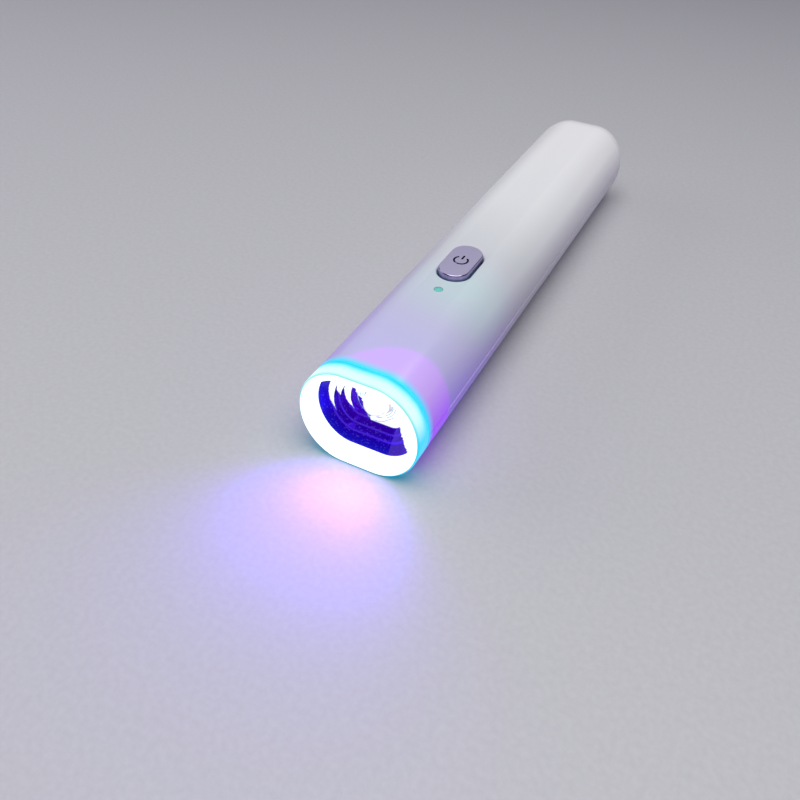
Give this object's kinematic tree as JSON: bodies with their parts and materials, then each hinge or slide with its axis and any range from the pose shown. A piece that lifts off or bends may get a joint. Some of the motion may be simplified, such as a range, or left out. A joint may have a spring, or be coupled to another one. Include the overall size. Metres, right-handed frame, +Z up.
{
  "type": "hand-held UV curing lamp",
  "caption": "Wand-shaped hand-held UV curing lamp with a lit translucent bezel, stepped reflector, domed LED, push button and USB-C charging socket.",
  "frame": {"origin": "middle of the underside's bounding rectangle, on the surface the lamp lies on", "axes": "+Z up, through the button; -Y the way the light goes, along the lamp; +X across it"},
  "size_m": [0.026, 0.14, 0.023],
  "materials": {
    "white_plastic": "gloss",
    "milky_plastic": "satin, lit from behind",
    "plated_mirror": "vacuum-metallised mirror",
    "led_ceramic": "matte",
    "uv_emitter": "glowing chip",
    "clear_silicone": "clear",
    "white_board": "white solder mask on a metal core",
    "aluminium": "sawn",
    "steel": "zinc plated",
    "plated_button": "satin plated",
    "black_plastic": "matte",
    "plunger_plastic": "matte",
    "clear_green": "clear, lit from below",
    "green_led": "clear",
    "green_board": "solder mask",
    "ferrite": "matte",
    "ivory_nylon": "matte",
    "capacitor_can": "bright",
    "cell_sleeve": "blue shrink sleeve",
    "nickel_strip": "bright nickel",
    "red_insulation": "satin",
    "black_insulation": "satin"
  },
  "bodies": {
    "lamp": {"upper_shell": "white_plastic", "lower_shell": "white_plastic", "front_bezel": "milky_plastic", "reflector": "plated_mirror", "led_package": "led_ceramic", "led_die": "uv_emitter", "led_lens": "clear_silicone", "led_board": "white_board", "heat_sink": "aluminium", "led_screw_left": "steel", "led_screw_right": "steel", "switch_body": "black_plastic", "light_pipe": "clear_green", "indicator_led": "green_led", "main_board": "green_board", "driver_chip": "black_plastic", "charger_chip": "black_plastic", "inductor": "ferrite", "capacitor_left": "capacitor_can", "capacitor_right": "capacitor_can", "lead_connector": "ivory_nylon", "board_screw_front": "steel", "board_screw_rear": "steel", "battery_cell": "cell_sleeve", "battery_cap": "steel", "positive_tab": "nickel_strip", "negative_tab": "nickel_strip", "charge_board": "green_board", "usb_shell": "steel", "usb_tongue": "black_plastic", "led_lead_red": "red_insulation", "led_lead_black": "black_insulation", "battery_lead_red": "red_insulation", "battery_lead_black": "black_insulation", "charge_lead_red": "red_insulation", "charge_lead_black": "black_insulation", "case_screw_front": "steel", "case_screw_rear": "steel"},
    "button": {"power_button": "plated_button", "switch_plunger": "plunger_plastic"}
  },
  "joints": [
    {"name": "button_press", "type": "slide", "parent": "lamp", "child": "button", "axis": [0, 0, -1], "range_m": [0, 0.0005], "stiffness_N_per_m": 300, "springref_m": -0.001}
  ]
}
